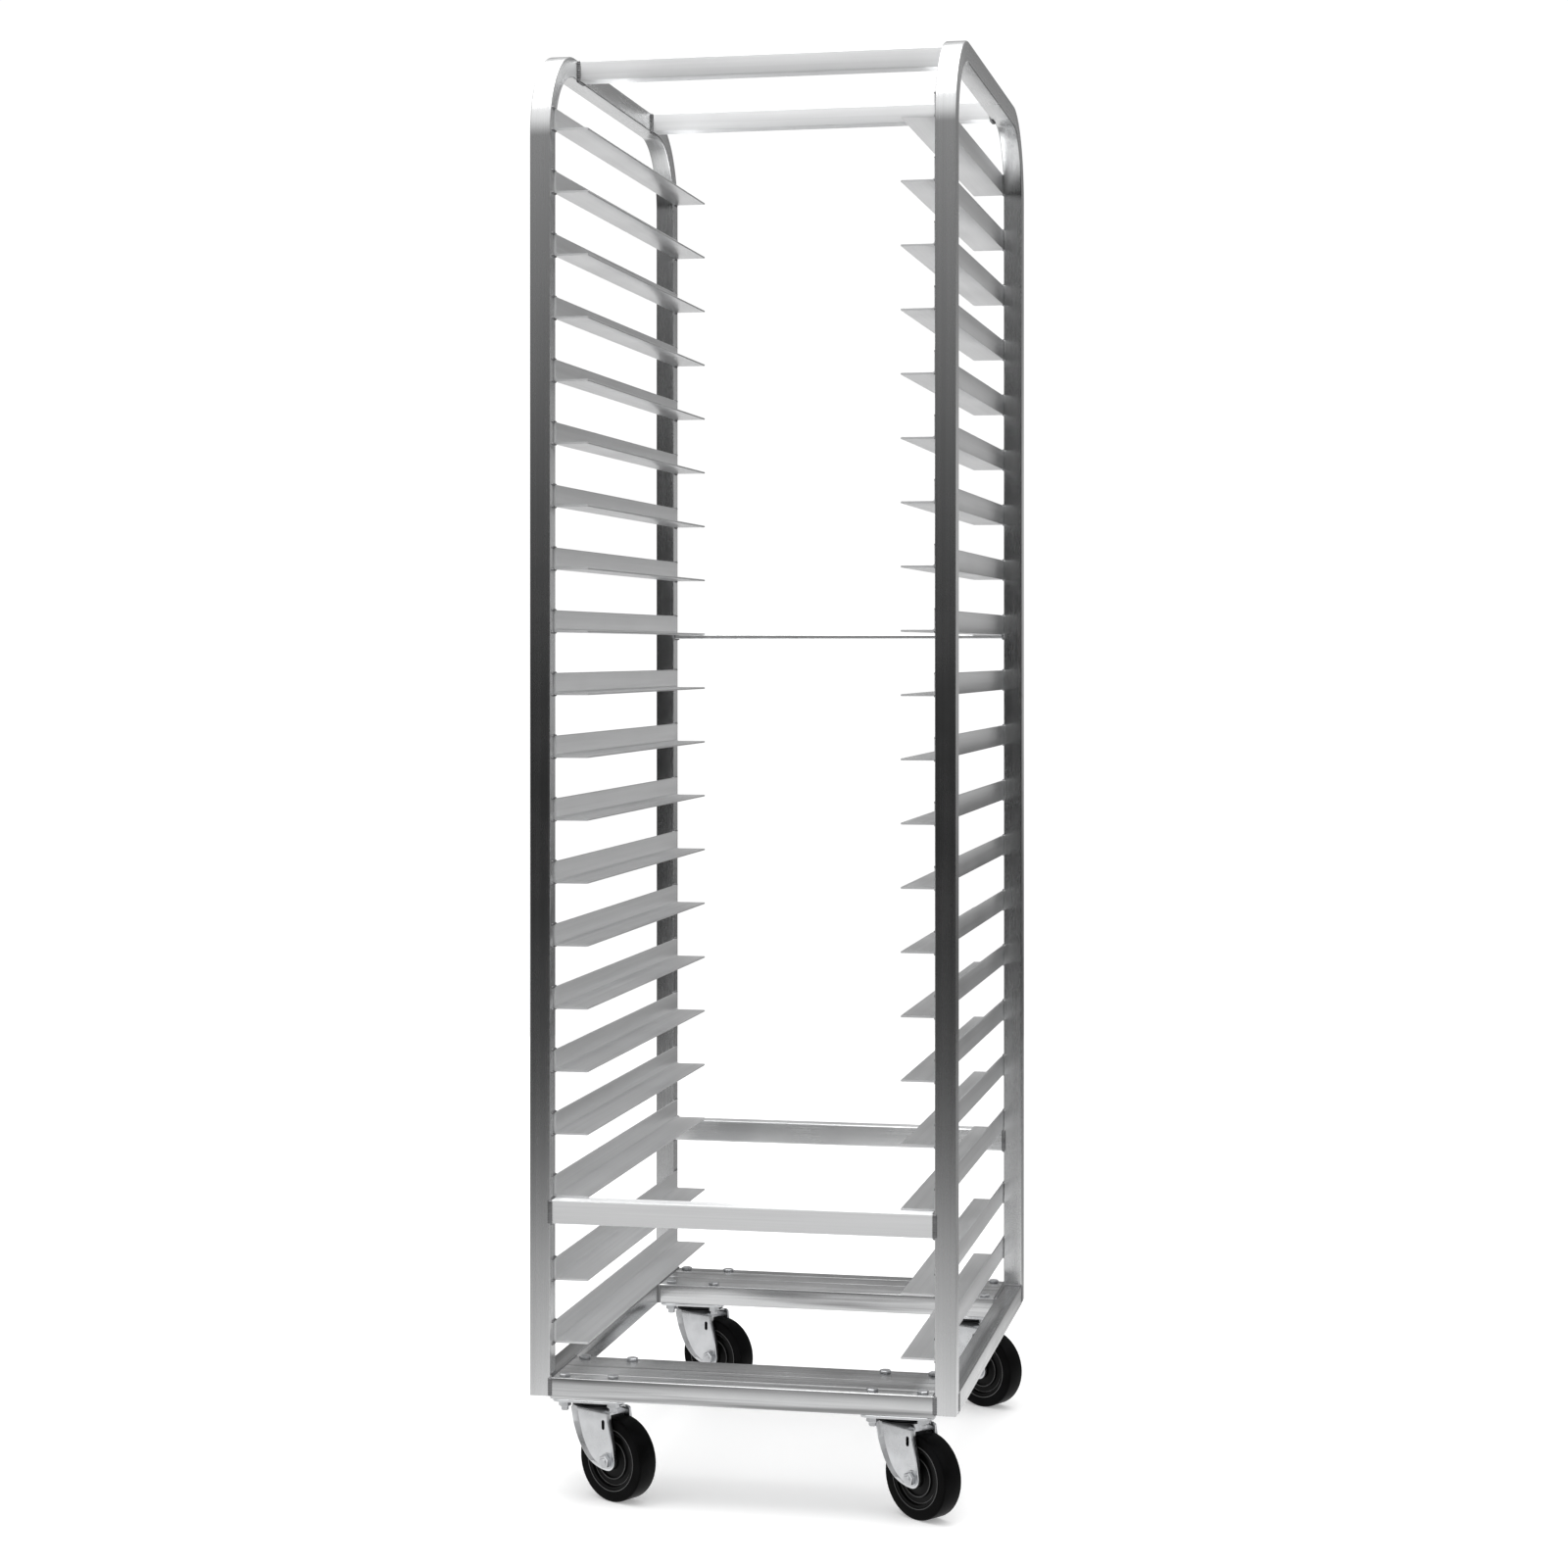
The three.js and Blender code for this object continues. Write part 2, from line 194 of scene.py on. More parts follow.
# The wheel. Profiles in mm of (radius, depth below a face): the wheel's side or the hub's end.
WHEEL_WIDTH = 28.575 * MM
HUB_WIDTH = 30.5 * MM
TREAD_SHOULDER = 2.6 * MM
TREAD_EDGE = ((36.6, 1.4), (37.4, 0.4))
HUB_END = ((7, 0), (10.5, 0), (11.5, 0.8))
HUB_SIDE = (
    (12.2, 3.5), (14, 4.5), (21.4, 4.5), (22.2, 2.6), (23.8, 2.6), (24.6, 4.8), (32, 4.8), (33, 1.2),
    (35.9, 0.8), (36.8, 1.8),
)
# Painted highlight: thin light rings on the hub's ridges, in mm of (radius, depth below the side), where
# their edges would catch light.
HIGHLIGHT_RINGS = ((37.4, 0.3), (23, 2.6), (31, 4.8))
HIGHLIGHT_RING_RADIUS = 0.55 * MM
BEARING = ((5.3, -0.6), (8.2, -0.6), (8.6, 0.4))


# ---------- Materials ----------

# Stretches of the grain map, per metre around and along: die lines, wider bands and dull streaks.
DIE_LINES = (1500, 2.2, 1)
DIE_BANDS = (150, 1.1, 1)
DULL_STREAKS = (70, 1.6, 1)
SAWN_ROUGHNESS = 0.32         # added on sawn ends
SMUDGE_SCALE = 9.0
DUST_SCALE = 45.0
MIDDLE_OF_NOISE = (0.3, 0.7)  # most of a noise's values lie between these
DIE_RELIEF = 0.1 * MM
GRAIN_RELIEF = 0.3 * MM


class Nodes:
    """A short way to write a material's nodes."""

    def __init__(self, name):
        self.material = bpy.data.materials.new(name)
        self.material.use_nodes = True
        self.tree = self.material.node_tree
        self.shader = self.tree.nodes["Principled BSDF"]

    def add(self, kind, inputs=None, **settings):
        node = self.tree.nodes.new(kind)
        for key, value in settings.items():
            setattr(node, key, value)
        for key, value in (inputs or {}).items():
            if isinstance(value, bpy.types.NodeSocket):
                self.tree.links.new(value, node.inputs[key])
            else:
                node.inputs[key].default_value = value
        return node

    def noise(self, vector, scale, stretch=(1, 1, 1), detail=3.0, roughness=0.55):
        """Noise from 0 to 1 on a stretched coordinate."""
        mapped = self.add("ShaderNodeMapping", {"Vector": vector, "Scale": stretch})
        node = self.add(
            "ShaderNodeTexNoise",
            {"Vector": mapped.outputs[0], "Scale": scale, "Detail": detail, "Roughness": roughness},
        )
        return node.outputs["Fac"]

    def spread(self, value, low, high, to_low, to_high):
        """value, from low to high, becomes a number from to_low to to_high."""
        node = self.add(
            "ShaderNodeMapRange",
            {"Value": value, "From Min": low, "From Max": high, "To Min": to_low, "To Max": to_high},
        )
        return node.outputs[0]

    def calculate(self, a, b, operation="ADD"):
        return self.add("ShaderNodeMath", {0: a, 1: b}, operation=operation).outputs[0]

    def mean(self, a, b):
        return self.calculate(self.calculate(a, 0.5, "MULTIPLY"), self.calculate(b, 0.5, "MULTIPLY"))

    def colour(self, value, dark, light):
        """A colour from dark to light as value goes from 0 to 1."""
        mix = self.add("ShaderNodeMix", {0: value}, data_type="RGBA")
        mix.inputs[6].default_value = (*dark, 1)
        mix.inputs[7].default_value = (*light, 1)
        return mix.outputs[2]

    def bump(self, height, strength, distance):
        node = self.add("ShaderNodeBump", {"Height": height, "Strength": strength, "Distance": distance})
        self.drive("Normal", node.outputs[0])

    def drive(self, socket, value):
        """Links a value to one of the shader's sockets."""
        self.tree.links.new(value, self.shader.inputs[socket])

    def fix(self, **values):
        """Sets uniform values on the shader's own sockets; _ stands for a space."""
        for name, value in values.items():
            self.shader.inputs[name.replace("_", " ")].default_value = value


def extruded_aluminium(name, tone, roughness, smudge, anisotropy, streaks=0.06):
    """Mill-finish aluminium: fine die lines along the length, soft smudges and rougher sawn ends.

    The grain map is at 0 on the sawn ends only. streaks is how dark the dull streaks are."""
    n = Nodes(name)
    grain = n.add("ShaderNodeUVMap", uv_map="grain").outputs[0]
    place = n.add("ShaderNodeTexCoord").outputs["Object"]
    lines = n.noise(grain, 1.0, DIE_LINES, detail=4)
    bands = n.noise(grain, 1.0, DIE_BANDS, detail=2)
    blotch = n.noise(place, SMUDGE_SCALE, detail=4, roughness=0.6)
    streak = n.mean(lines, bands)
    dull = n.noise(grain, 1.0, DULL_STREAKS, detail=3)
    dark = tuple(channel * 0.88 for channel in tone)
    fresh = n.colour(n.spread(streak, *MIDDLE_OF_NOISE, 0, 1), dark, tone)
    shade = n.colour(n.spread(dull, 0.5, 0.68, 0, streaks), (1, 1, 1), (0, 0, 0))
    streaked = {0: 1.0, 6: fresh, 7: shade}
    tinted = n.add("ShaderNodeMix", streaked, data_type="RGBA", blend_type="MULTIPLY")
    n.drive("Base Color", tinted.outputs[2])
    worn = n.spread(blotch, 0.35, 0.7, -smudge, smudge)
    brushed = n.spread(streak, *MIDDLE_OF_NOISE, roughness - 0.03, roughness + 0.04)
    along = n.add("ShaderNodeSeparateXYZ", {0: grain}).outputs["Y"]
    sawn = n.calculate(n.calculate(along, 0.5, "LESS_THAN"), SAWN_ROUGHNESS, "MULTIPLY")
    n.drive("Roughness", n.calculate(n.calculate(brushed, worn), sawn))
    n.drive("Tangent", n.add("ShaderNodeTangent", direction_type="UV_MAP", uv_map="grain").outputs[0])
    n.fix(Metallic=1.0, Anisotropic=anisotropy)
    n.bump(lines, 0.1, DIE_RELIEF)
    return n.material


def cast_metal(name, tone, roughness, grain_scale, bump, spread=0.06):
    """Plated, cast or turned metal with a fine even texture."""
    n = Nodes(name)
    place = n.add("ShaderNodeTexCoord").outputs["Object"]
    fine = n.noise(place, grain_scale, detail=3)
    broad = n.noise(place, grain_scale * 0.08, detail=3)
    dark = tuple(channel * 0.8 for channel in tone)
    n.drive("Base Color", n.colour(n.spread(broad, 0.35, 0.65, 0, 1), dark, tone))
    mixed = n.mean(fine, broad)
    n.drive("Roughness", n.spread(mixed, *MIDDLE_OF_NOISE, roughness - spread, roughness + spread))
    n.fix(Metallic=1.0)
    n.bump(fine, bump, GRAIN_RELIEF)
    return n.material


def moulded(name, dark, light, roughness, shine, grain_scale, bump):
    """Moulded rubber or plastic with a fine grain and a trace of dust."""
    n = Nodes(name)
    place = n.add("ShaderNodeTexCoord").outputs["Object"]
    fine = n.noise(place, grain_scale, detail=4)
    broad = n.noise(place, DUST_SCALE, detail=4)
    n.drive("Base Color", n.colour(n.spread(broad, 0.4, 0.75, 0, 1), dark, light))
    n.drive("Roughness", n.spread(fine, *MIDDLE_OF_NOISE, roughness - 0.07, roughness + 0.07))
    n.fix(Specular_IOR_Level=shine)
    n.bump(fine, bump, GRAIN_RELIEF)
    return n.material


FRAME_METAL = extruded_aluminium(
    "frame_aluminium", (0.79, 0.795, 0.8), roughness=0.26, smudge=0.03, anisotropy=0.9,
)
RAIL_METAL = extruded_aluminium(
    "rail_aluminium", (0.95, 0.955, 0.96), roughness=0.44, smudge=0.03, anisotropy=0.95,
)
SLIDE_METAL = extruded_aluminium(
    "slide_aluminium", (0.95, 0.955, 0.96), roughness=0.34, smudge=0.03, anisotropy=0.3,
)
# Painted shade: the base channel and, darker still, the base rails are shaded copies of the frame's
# aluminium. Their strong dull streaks are partly real streaking and partly painted dark reflection.
SHADED_BASE_METAL = extruded_aluminium(
    "base_aluminium", (0.7, 0.705, 0.71), roughness=0.22, smudge=0.05, anisotropy=0.6, streaks=0.6,
)
SHADED_SIDE_METAL = extruded_aluminium(
    "base_side_aluminium_painted_shade", (0.52, 0.525, 0.53), roughness=0.22, smudge=0.04, anisotropy=0.6, streaks=0.6,
)
WELD_METAL = cast_metal(
    "weld_aluminium", (0.27, 0.27, 0.275), roughness=0.36, grain_scale=900, bump=0.3,
)
ZINC = cast_metal(
    "zinc_plate", (0.74, 0.75, 0.765), roughness=0.3, grain_scale=420, bump=0.08,
)
BOLT_METAL = cast_metal(
    "bolt_zinc", (0.62, 0.63, 0.645), roughness=0.32, grain_scale=600, bump=0.1,
)
# Painted shade: the ball races are near-black so that they stand in for the shade round the swivel.
SHADED_RACE_STEEL = cast_metal(
    "race_steel_painted_shade", (0.05, 0.05, 0.052), roughness=0.42, grain_scale=500, bump=0.15, spread=0.1,
)
RUBBER = moulded(
    "tread_rubber", dark=(0.001, 0.001, 0.001), light=(0.0035, 0.0035, 0.004),
    roughness=0.5, shine=0.05, grain_scale=700, bump=0.2,
)
HUB_PLASTIC = moulded(
    "hub_plastic", dark=(0.002, 0.002, 0.002), light=(0.006, 0.006, 0.006),
    roughness=0.35, shine=0.1, grain_scale=900, bump=0.1,
)
# Painted highlight: the rings are a lighter, shinier plastic than the hub so that its ridges look lit.
HIGHLIGHT_RING_PLASTIC = moulded(
    "hub_ring_painted_highlight", dark=(0.06, 0.06, 0.06), light=(0.12, 0.12, 0.12),
    roughness=0.4, shine=0.5, grain_scale=900, bump=0.1,
)


# ---------- Mesh building ----------

def arc(centre, radius, start, end, steps):
    """Points on an arc, both ends included; angles in degrees."""
    points = []
    for step in range(steps + 1):
        angle = math.radians(start + (end - start) * step / steps)
        points.append((centre[0] + radius * math.cos(angle), centre[1] + radius * math.sin(angle)))
    return points


def ring_points(radius, count, turn=0.0):
    """Points evenly round a circle."""
    angles = (2 * math.pi * i / count + turn for i in range(count))
    return [(radius * math.cos(angle), radius * math.sin(angle)) for angle in angles]


def rounded_rectangle(width, height, radius, steps=4):
    """A rectangle about the origin with round corners."""
    x = width / 2 - radius
    y = height / 2 - radius
    corners = ((x, -y, -90), (x, y, 0), (-x, y, 90), (-x, -y, 180))
    return [p for cx, cy, start in corners for p in arc((cx, cy), radius, start, start + 90, steps)]


def piece_from(name, mesh, body, material, replaced=(), smooth=38):
    """Turns a bmesh into a shaded piece that rides on a body."""
    bmesh.ops.recalc_face_normals(mesh, faces=mesh.faces)
    data = bpy.data.meshes.new(name)
    mesh.to_mesh(data)
    mesh.free()
    data.shade_smooth()
    data.set_sharp_from_angle(angle=math.radians(smooth))
    data.materials.append(material)
    piece = bpy.data.objects.new(name, data)
    bpy.context.scene.collection.objects.link(piece)
    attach(piece, body)
    if replaced:
        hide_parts(*replaced)
    return piece


def distances(outline):
    """How far along a closed outline each point is, with the full length last."""
    along = [0.0]
    for index, point in enumerate(outline):
        following = outline[(index + 1) % len(outline)]
        along.append(along[-1] + math.dist(point, following))
    return along


def bridge(mesh, rows):
    """Joins each closed row of vertices to the next with quads."""
    for low, high in zip(rows, rows[1:]):
        for i in range(len(low)):
            j = (i + 1) % len(low)
            mesh.faces.new((low[i], low[j], high[j], high[i]))


def loft(mesh, rows):
    """A closed solid through rows of vertices."""
    bridge(mesh, rows)
    mesh.faces.new(rows[0])
    mesh.faces.new(rows[-1])


def sweep(mesh, stations, outline, bore=None):
    """Sweeps a closed outline through stations of (origin, across axis, up axis).

    The grain map holds the distance around the outline and along the sweep, in metres."""
    grain = mesh.loops.layers.uv.get("grain") or mesh.loops.layers.uv.new("grain")
    start = chance.uniform(1, 50)
    shells = []
    for ring in filter(None, (outline, bore)):
        rows = []
        for origin, across, up in stations:
            rows.append([mesh.verts.new(origin + across * a + up * b) for a, b in ring])
        around = distances(ring)
        run = start
        for lower, upper, low, high in zip(rows, rows[1:], stations, stations[1:]):
            step = (high[0] - low[0]).length
            for j in range(len(ring)):
                k = (j + 1) % len(ring)
                face = mesh.faces.new((lower[j], lower[k], upper[k], upper[j]))
                near, far = around[j], around[j + 1]
                corners = ((near, run), (far, run), (far, run + step), (near, run + step))
                for loop, corner in zip(face.loops, corners):
                    loop[grain].uv = corner
            run += step
        shells.append(rows)
    for end in (0, -1):
        if bore is None:
            mesh.faces.new(shells[0][end])
            continue
        outside, inside = shells[0][end], shells[1][end]
        for j in range(len(outline)):
            k = (j + 1) % len(outline)
            mesh.faces.new((outside[j], outside[k], inside[k], inside[j]))


def straight(start, end, across, up):
    """The two stations of a straight line."""
    return [(start, across, up), (end, across, up)]


def lathe(mesh, profile, matrix, segments=48):
    """Turns a profile of (radius, height) about Z, then places it. A radius of 0 closes the end."""
    rings = []
    for radius, height in profile:
        if radius == 0:
            rings.append([mesh.verts.new(matrix @ Vector((0, 0, height)))])
            continue
        circle = ring_points(radius, segments)
        rings.append([mesh.verts.new(matrix @ Vector((x, y, height))) for x, y in circle])
    for low, high in zip(rings, rings[1:]):
        for i in range(segments):
            j = (i + 1) % segments
            corners = [low[i % len(low)], low[j % len(low)], high[j % len(high)], high[i % len(high)]]
            mesh.faces.new(list(dict.fromkeys(corners)))
    return rings


def closed_lathe(mesh, profile, matrix, segments=48):
    """A lathe ring whose profile closes on itself."""
    rings = lathe(mesh, profile, matrix, segments)
    first, last = rings[0], rings[-1]
    for i in range(segments):
        j = (i + 1) % segments
        mesh.faces.new((last[i], last[j], first[j], first[i]))


def prism(mesh, outline, bottom, top, matrix, chamfer=0.0):
    """An outline in X and Y with flat ends, its end edges chamfered."""
    centre = Vector((sum(p[0] for p in outline), sum(p[1] for p in outline))) / len(outline)
    levels = [(bottom, chamfer), (bottom + chamfer, 0), (top - chamfer, 0), (top, chamfer)]
    if chamfer == 0:
        levels = [(bottom, 0), (top, 0)]
    rows = []
    for height, inset in levels:
        row = []
        for point in outline:
            spoke = Vector(point) - centre
            end = centre + spoke * (1 - inset / spoke.length)
            row.append(mesh.verts.new(matrix @ Vector((end.x, end.y, height))))
        rows.append(row)
    loft(mesh, rows)


def hexagon(mesh, radius, bottom, top, matrix, turn=0.0, chamfer=NUT_CHAMFER):
    """A nut or a bolt head."""
    prism(mesh, ring_points(radius, 6, turn), bottom, top, matrix, chamfer)


def held(point):
    """The nearest point inside the rack's box: beads on its outer faces are ground flush."""
    low, high = cad_box
    return Vector(min(max(value, a), b) for value, a, b in zip(point, low, high))


def weld_bead(mesh, start, end, radius, flat=1.0, out=Z_AXIS):
    """A rippled bead from start to end. It is flattened along out by flat."""
    run = end - start
    side = run.normalized().cross(out).normalized()
    ripples = max(3, round(run.length / WELD_PITCH))
    steps = ripples * STEPS_PER_RIPPLE
    rows = []
    for step in range(steps + 1):
        swell = 0.78 + 0.22 * abs(math.sin(math.pi * step / STEPS_PER_RIPPLE))
        taper = min(1.0, 0.25 + 0.4 * min(step, steps - step))
        size = radius * swell * taper * chance.uniform(0.95, 1.05)
        centre = start + run * (step / steps)
        circle = ring_points(size, BEAD_SIDES)
        rows.append([mesh.verts.new(held(centre + side * a + out * (b * flat))) for a, b in circle])
    loft(mesh, rows)


# ---------- Side frames ----------

def side_frame_stations(x):
    """Stations up the front upright, over both bends and down the rear upright."""
    reach = HALF_DEPTH - TUBE / 2
    bend = BEND_RADIUS - TUBE / 2
    centre_y = HALF_DEPTH - BEND_RADIUS
    centre_z = TOP - BEND_RADIUS
    stations = [(Vector((x, -reach, FOOT)), X_AXIS, -Y_AXIS)]
    for side, start in ((-1, 180), (1, 90)):
        for step in range(BEND_STEPS + 1):
            angle = math.radians(start - 90 * step / BEND_STEPS)
            outward = Vector((0, math.cos(angle), math.sin(angle)))
            centre = Vector((x, side * centre_y, centre_z))
            stations.append((centre + outward * bend, X_AXIS, outward))
    stations.append((Vector((x, reach, FOOT)), X_AXIS, Y_AXIS))
    return stations


def tube_bore(width, height, wall):
    """The hollow of a rectangular tube."""
    return rounded_rectangle(width - 2 * wall, height - 2 * wall, TUBE_CORNER - wall / 2)


def side_frame(side, x):
    """One square tube bent into an inverted U."""
    mesh = bmesh.new()
    outline = rounded_rectangle(TUBE, TUBE, TUBE_CORNER)
    sweep(mesh, side_frame_stations(x), outline, tube_bore(TUBE, TUBE, TUBE_WALL))
    node = f"{side}_side_frame"
    piece_from(f"{node}_tube", mesh, "root", FRAME_METAL, [node])


# ---------- Cross members ----------

def cross_member(node, corner, material, wall=None):
    """A straight tube or bar that fills its CAD node's box."""
    low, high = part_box(node)
    middle = (low + high) / 2
    size = high - low
    mesh = bmesh.new()
    outline = rounded_rectangle(size.y, size.z, corner)
    bore = tube_bore(size.y, size.z, wall) if wall else None
    start = Vector((low.x, middle.y, middle.z))
    end = Vector((high.x, middle.y, middle.z))
    sweep(mesh, straight(start, end, Y_AXIS, Z_AXIS), outline, bore)
    piece_from(f"{node}_bar", mesh, "root", material, [node])


# ---------- Pan slides ----------

def slide_outline(width, height):
    """An angle section: the leg at 0 across, the ledge at 0 up."""
    thickness = SLIDE_THICKNESS
    toe = SLIDE_TOE
    heel = SLIDE_HEEL
    fillet_centre = thickness + SLIDE_FILLET
    return [
        *arc((heel, heel), heel, 180, 270, 2),
        *arc((width - toe, toe), toe, -90, 0, 3),
        *arc((width - toe, thickness - toe), toe, 0, 90, 3),
        *arc((fillet_centre, fillet_centre), SLIDE_FILLET, 270, 180, 5),
        *arc((thickness - toe, height - toe), toe, 0, 90, 3),
        *arc((toe, height - toe), toe, 90, 180, 3),
    ]


def slide(side, level):
    """An angle on the inner faces of one side's uprights."""
    node = f"slide_{side}_{level:02d}"
    low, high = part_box(node)
    inward = X_AXIS if side == "left" else -X_AXIS
    wall = low.x if side == "left" else high.x
    outline = slide_outline(high.x - low.x, high.z - low.z)
    mesh = bmesh.new()
    start = Vector((wall, low.y, low.z))
    end = Vector((wall, high.y, low.z))
    sweep(mesh, straight(start, end, inward, Z_AXIS), outline)
    piece_from(f"{node}_angle", mesh, "root", SLIDE_METAL, [node])


# ---------- Base ----------

def channel_outline(height, outside):
    """The caster channel's section, centred across, its foot at 0 up: web on top, flanges down.

    Two fine grooves run along the web. outside is the sign of the rack's outer side."""
    half = CHANNEL_WIDTH / 2
    wall = CHANNEL_WALL
    out = CHANNEL_CORNER
    inside = CHANNEL_FILLET
    toe = CHANNEL_TOE
    right = [
        *arc((half - wall + toe, toe), toe, 180, 270, 2),
        *arc((half - toe, toe), toe, 270, 360, 2),
        *arc((half - out, height - out), out, 0, 90, 4),
    ]
    left = [(-a, b) for a, b in reversed(right)]
    grooves = []
    for middle in sorted((outside * groove for groove in CHANNEL_GROOVES), reverse=True):
        grooves += [
            (middle + GROOVE_WIDTH / 2, height),
            (middle + GROOVE_WIDTH / 4, height - GROOVE_DEPTH),
            (middle - GROOVE_WIDTH / 4, height - GROOVE_DEPTH),
            (middle - GROOVE_WIDTH / 2, height),
        ]
    under = height - wall - inside
    web = [
        *arc((-half + wall + inside, under), inside, 180, 90, 4),
        *arc((half - wall - inside, under), inside, 90, 0, 4),
    ]
    return [*right, *grooves, *left, *web]


def caster_channel(end, side):
    """The front or rear channel, between the uprights."""
    reach = INNER_FACE - WELD_GAP
    y = side * (HALF_DEPTH - CHANNEL_WIDTH / 2)
    mesh = bmesh.new()
    outline = channel_outline(BASE_HIGH.z - BASE_LOW.z, side)
    start = Vector((-reach, y, BASE_LOW.z))
    finish = Vector((reach, y, BASE_LOW.z))
    sweep(mesh, straight(start, finish, Y_AXIS, Z_AXIS), outline)
    piece_from(f"{end}_caster_channel", mesh, "root", SHADED_BASE_METAL, ["base_frame"])


def base_rail(side, x):
    """The base's side rail, between the front and rear uprights."""
    reach = HALF_DEPTH - TUBE - WELD_GAP
    height = BASE_HIGH.z - BASE_LOW.z
    z = (BASE_HIGH.z + BASE_LOW.z) / 2
    mesh = bmesh.new()
    outline = rounded_rectangle(TUBE, height, TUBE_CORNER)
    stations = straight(Vector((x, -reach, z)), Vector((x, reach, z)), X_AXIS, Z_AXIS)
    sweep(mesh, stations, outline, tube_bore(TUBE, height, BASE_RAIL_WALL))
    piece_from(f"{side}_base_rail", mesh, "root", SHADED_SIDE_METAL, ["base_frame"])


# ---------- Welds ----------

def rail_welds(mesh, node):
    """Beads round both ends of a cross member."""
    low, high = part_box(node)
    section = ((low.y, low.z), (low.y, high.z), (high.y, high.z), (high.y, low.z))
    outs = (-Y_AXIS, Z_AXIS, Y_AXIS, -Z_AXIS)
    for x in (-INNER_FACE, INNER_FACE):
        corners = [Vector((x, y, z)) for y, z in section]
        for start, end, out in zip(corners, corners[1:] + corners[:1], outs):
            weld_bead(mesh, start, end, RAIL_BEAD, 0.7, out)


def slide_welds(mesh, side):
    """Short beads above and below each slide, where it crosses an upright."""
    length = TUBE * SLIDE_WELD_SHARE
    x = -INNER_FACE if side == "left" else INNER_FACE
    for level in LEVELS:
        low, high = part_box(f"slide_{side}_{level:02d}")
        for end in (-1, 1):
            y = end * (HALF_DEPTH - TUBE / 2 - SLIDE_WELD_INSET)
            for z, out in ((low.z, -Z_AXIS), (high.z, Z_AXIS)):
                start = Vector((x, y - length / 2, z))
                weld_bead(mesh, start, start + Y_AXIS * length, SLIDE_BEAD, 0.8, out)


def base_welds(mesh):
    """Beads where the channels and rails meet the uprights and each other."""
    top = BASE_HIGH.z
    for side_x in (-1, 1):
        x = side_x * INNER_FACE
        outer = side_x * (INNER_FACE + TUBE)
        for side_y in (-1, 1):
            face = side_y * HALF_DEPTH
            back = side_y * (HALF_DEPTH - TUBE)
            inside = side_y * (HALF_DEPTH - CHANNEL_WIDTH)
            out = Y_AXIS * side_y
            for start, end, flat, way in (
                ((x, face, FOOT), (x, face, top), 0.6, out),
                ((x, back, top), (x, face, top), 0.8, Z_AXIS),
                ((x, inside, top), (x, back, top), 0.5, Z_AXIS),
                ((x, inside, BASE_LOW.z), (x, inside, top), 0.8, -out),
                ((x, back, top), (outer, back, top), 0.8, Z_AXIS),
                ((outer, back, FOOT), (outer, back, top), 0.5, X_AXIS * side_x),
            ):
                weld_bead(mesh, Vector(start), Vector(end), BASE_BEAD, flat, way)


# ---------- Casters ----------

def caster_matrices(place):
    """The caster's own frames: fixed, turned with the swivel, and about the axle with Z along it."""
    swivel = Vector(joints[f"{place}_swivel"]["pos_m"])
    axle = Vector(joints[f"{place}_wheel_spin"]["pos_m"])
    along = (axle - swivel).to_2d()
    fixed = Matrix.Translation((swivel.x, swivel.y, 0))
    turned = fixed @ Matrix.Rotation(math.atan2(along.y, along.x), 4, "Z")
    spin = turned @ Matrix.Translation((along.length, 0, axle.z)) @ Matrix.Rotation(math.pi / 2, 4, "X")
    return fixed, turned, spin, along.length, axle.z


def race(mesh, bore, radius, start, profile, matrix):
    """A ball race: its profile, closed at the bore."""
    points = [(radius + out * MM, start + up * MM) for out, up in profile]
    closed_lathe(mesh, [(bore, points[0][1]), *points, (bore, points[-1][1])], matrix)


def pin(mesh, size, tip, root, matrix):
    """A round bar of (radius, bevel) from its bevelled tip to its root."""
    radius, bevel = size
    shoulder = tip + math.copysign(bevel, root - tip)
    profile = [(0, tip), (radius - bevel, tip), (radius, shoulder), (radius, root), (0, root)]
    lathe(mesh, profile, matrix, 24)


def mount_plate(place, fixed, top):
    """The bolted plate, and the upper race below it."""
    node = f"caster_{place}_plate"
    bottom = top - PLATE_THICKNESS
    mesh = bmesh.new()
    prism(mesh, rounded_rectangle(*PLATE_SIZE, PLATE_CORNER, 6), bottom, top, fixed, PLATE_CHAMFER)
    piece_from(f"{node}_sheet", mesh, "root", ZINC, [node])
    mesh = bmesh.new()
    race(mesh, *UPPER_RACE, bottom, UPPER_RACE_PROFILE, fixed)
    piece_from(f"caster_{place}_top_race", mesh, "root", SHADED_RACE_STEEL)


def kingpin(place, fixed, crown_bottom):
    """The kingpin's nut and end, under the fork's crown."""
    mesh = bmesh.new()
    radius, height = KINGPIN_NUT
    top = crown_bottom - KINGPIN_GAP
    hexagon(mesh, radius, top - height, top, fixed, chance.uniform(0, 1))
    pin(mesh, KINGPIN, top - height - KINGPIN_REACH, top - KINGPIN_ROOT, fixed)
    piece_from(f"caster_{place}_kingpin_nut", mesh, "root", BOLT_METAL)


def plate_bolts(place, fixed, web_top, plate_bottom):
    """Four bolts: low heads on the channel's web, nuts and thread ends under the plate."""
    mesh = bmesh.new()
    head_radius, head_height = BOLT_HEAD
    nut_radius, nut_height = BOLT_NUT
    for sx, sy in ((-1, -1), (1, -1), (1, 1), (-1, 1)):
        at = fixed @ Matrix.Translation((sx * BOLT_SPACING[0] / 2, sy * BOLT_SPACING[1] / 2, 0))
        turn = chance.uniform(0, 1)
        hexagon(mesh, head_radius, web_top, web_top + head_height, at, turn)
        hexagon(mesh, nut_radius, plate_bottom - nut_height, plate_bottom, at, turn + 0.4)
        pin(mesh, BOLT, plate_bottom - BOLT_REACH, web_top, at)
    piece_from(f"caster_{place}_plate_bolts", mesh, "root", BOLT_METAL)


